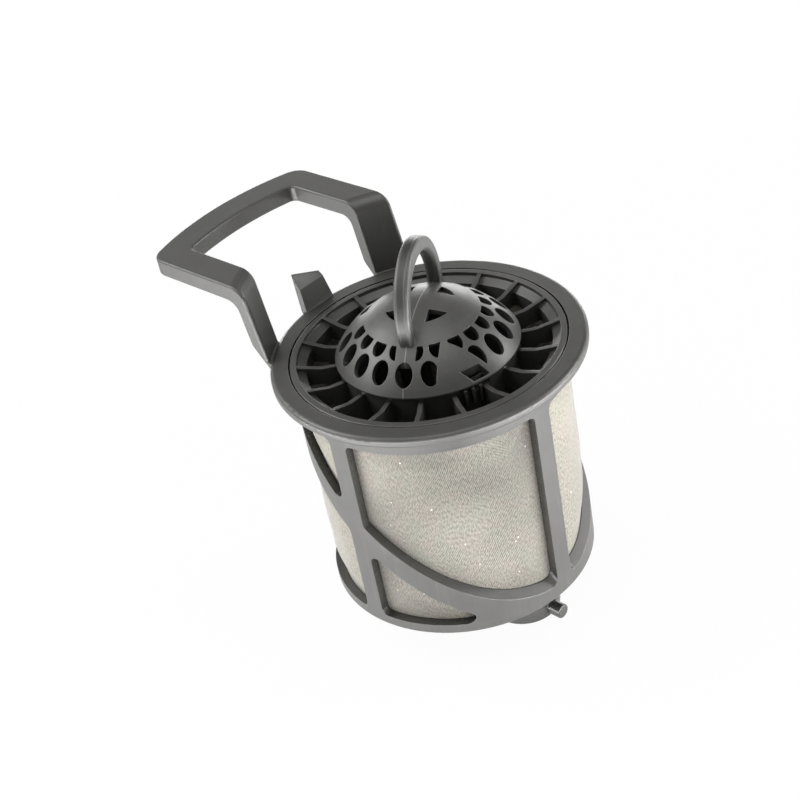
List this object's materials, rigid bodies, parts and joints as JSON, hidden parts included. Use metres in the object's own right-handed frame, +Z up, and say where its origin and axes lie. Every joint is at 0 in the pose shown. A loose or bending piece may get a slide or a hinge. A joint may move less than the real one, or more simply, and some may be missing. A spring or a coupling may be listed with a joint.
{
  "type": "dishwasher filter",
  "caption": "Round dishwasher filter: a caged mesh microfilter with a bail handle and a lift-out coarse filter with a finned flange, perforated dome and pull loop.",
  "frame": {"origin": "centre of the rim's top face, on the filter's axis", "axes": "+Z up the filter's axis, out of the sump; +Y towards the handle; the locking boss is on the -Y side"},
  "size_m": [0.092, 0.1306, 0.1217],
  "materials": {
    "frame_plastic": "satin",
    "woven_steel": "satin",
    "grille_plastic": "satin",
    "cup_plastic": "satin",
    "dome_plastic": "satin"
  },
  "bodies": {
    "microfilter": {"outer_frame": "frame_plastic", "mesh_sleeve": "woven_steel"},
    "coarse_filter": {"coarse_grille": "grille_plastic", "collecting_cup": "cup_plastic", "dome_cap": "dome_plastic"}
  },
  "joints": [
    {"name": "coarse_filter_lift", "type": "slide", "parent": "microfilter", "child": "coarse_filter", "axis": [0, 0, 1], "range_m": [0, 0.06]}
  ]
}
